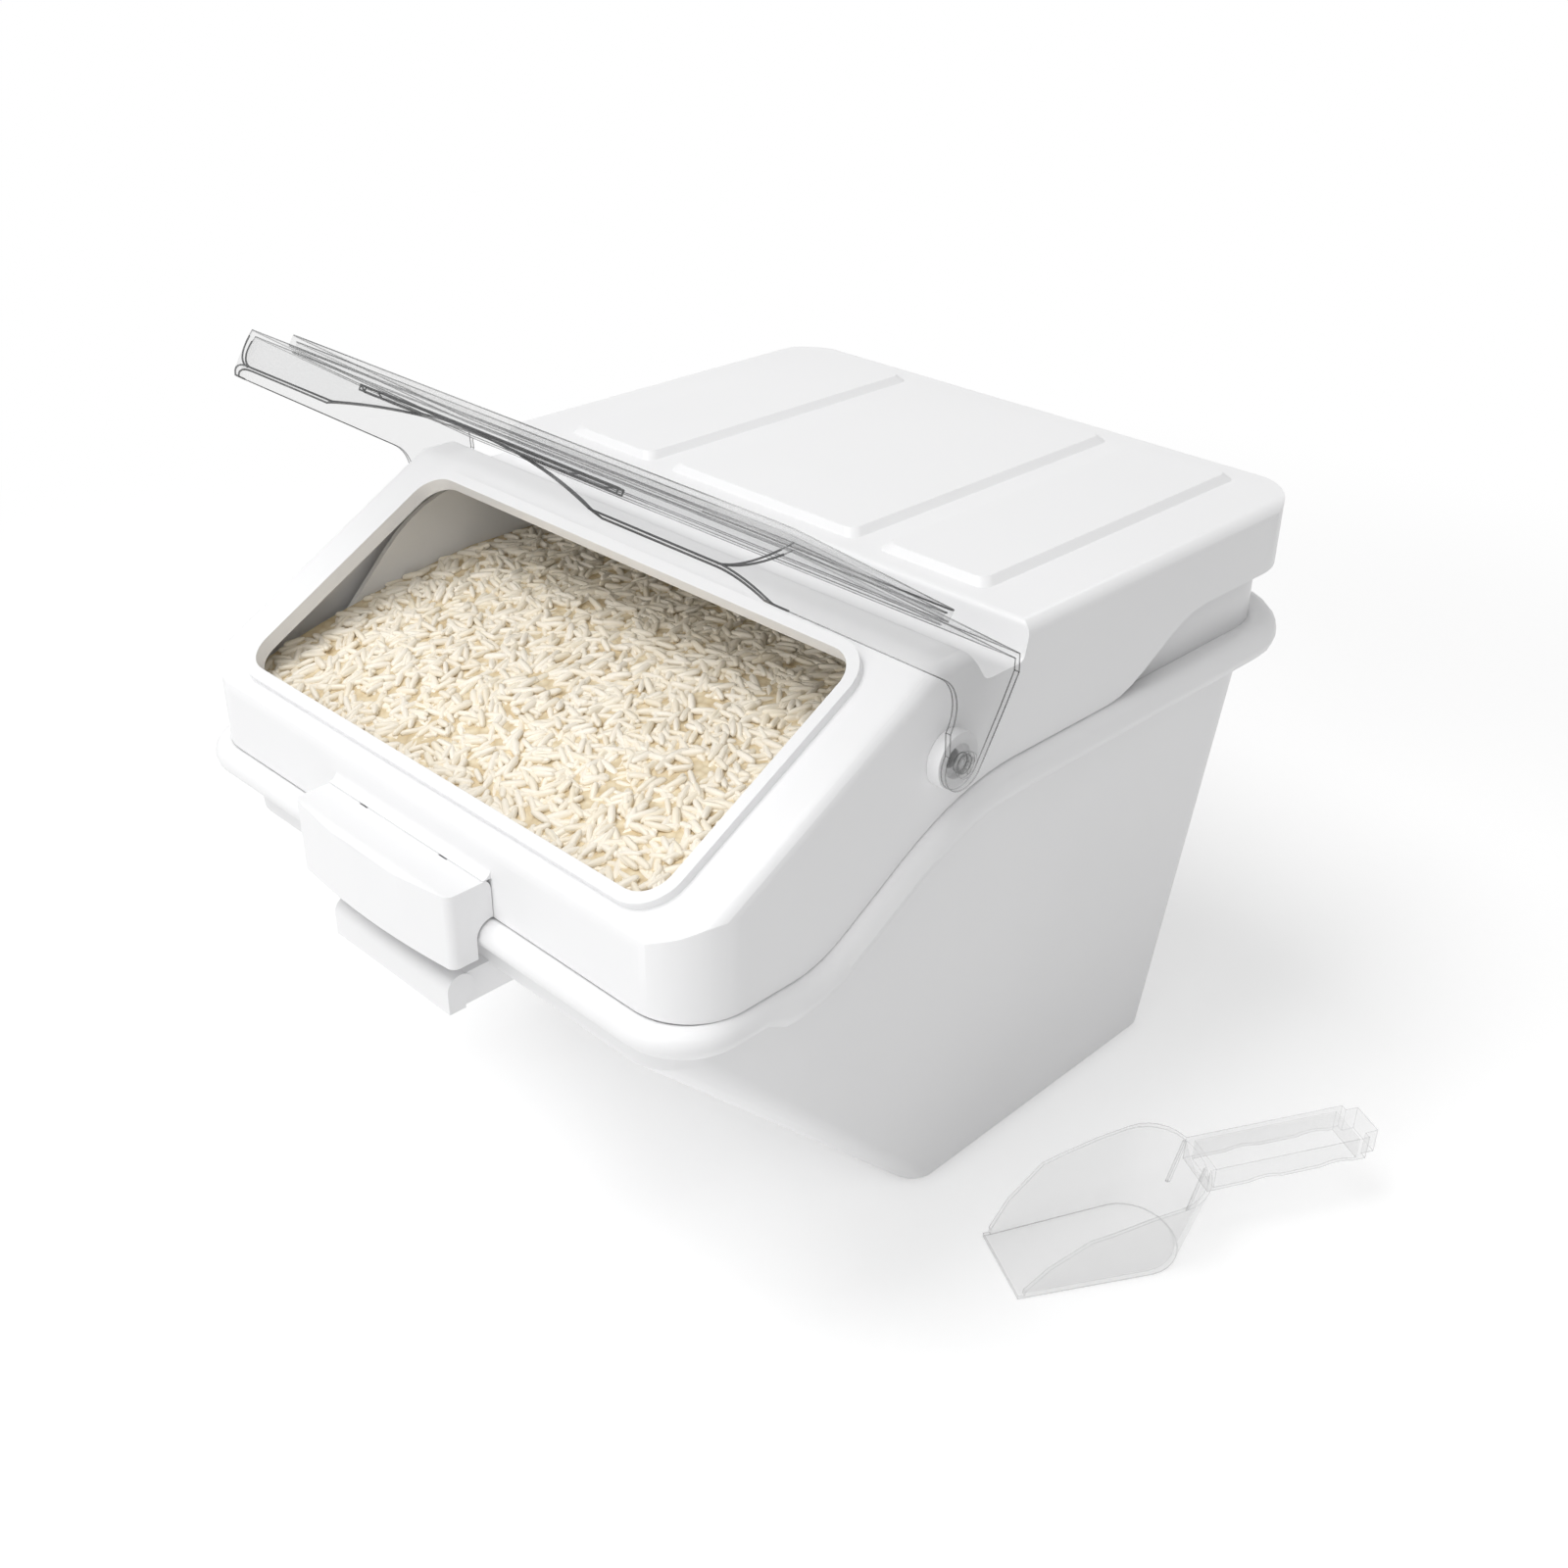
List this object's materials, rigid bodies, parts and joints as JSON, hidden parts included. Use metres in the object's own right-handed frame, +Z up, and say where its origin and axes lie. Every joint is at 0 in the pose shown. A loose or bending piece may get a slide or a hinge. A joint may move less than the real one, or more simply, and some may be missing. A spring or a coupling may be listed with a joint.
{
  "type": "rice bin with flip lid",
  "caption": "Angled shelf bin for rice with a lift-off cover, a clear flip lid over a sloping window, a swing latch at the front and a clear scoop.",
  "frame": {"origin": "centre of the base, on the surface that the bin stands on", "axes": "+Z up; the front with the window and the latch faces -Y; +X to the right of someone who looks along +Y"},
  "size_m": [0.4204, 0.391, 0.3564],
  "materials": {
    "white_plastic": "satin",
    "clear_plastic": "clear, thin, slightly grey at the edges",
    "clear_pin": "clear to grey, glossy",
    "steel": "plain",
    "rice": "cream grains with brown gaps"
  },
  "bodies": {
    "bin": {"bin_body": "white_plastic", "front_grip": "white_plastic", "rice_fill": "rice"},
    "cover": {"cover_shell": "white_plastic", "left_pivot_bush": "white_plastic", "right_pivot_bush": "white_plastic", "latch_bracket": "white_plastic"},
    "lid": {"flip_lid": "clear_plastic", "left_hinge_pin": "clear_pin", "right_hinge_pin": "clear_pin"},
    "latch": {"front_latch": "white_plastic", "latch_pin": "steel"},
    "scoop": {"scoop": "clear_plastic"}
  },
  "joints": [
    {"name": "cover_lift", "type": "slide", "parent": "bin", "child": "cover", "axis": [0, 0, 1], "range_m": [0, 0.12]},
    {"name": "lid_hinge", "type": "hinge", "parent": "cover", "child": "lid", "pos_m": [0, -0.1315, 0.253], "axis": [-1, 0, 0], "range_deg": [-62, 12]},
    {"name": "latch_hinge", "type": "hinge", "parent": "cover", "child": "latch", "pos_m": [0, -0.2625, 0.206], "axis": [-1, 0, 0], "range_deg": [0, 60]},
    {"name": "scoop_lift", "type": "slide", "parent": "bin", "child": "scoop", "axis": [0, 0, 1], "range_m": [0, 0.15]}
  ]
}
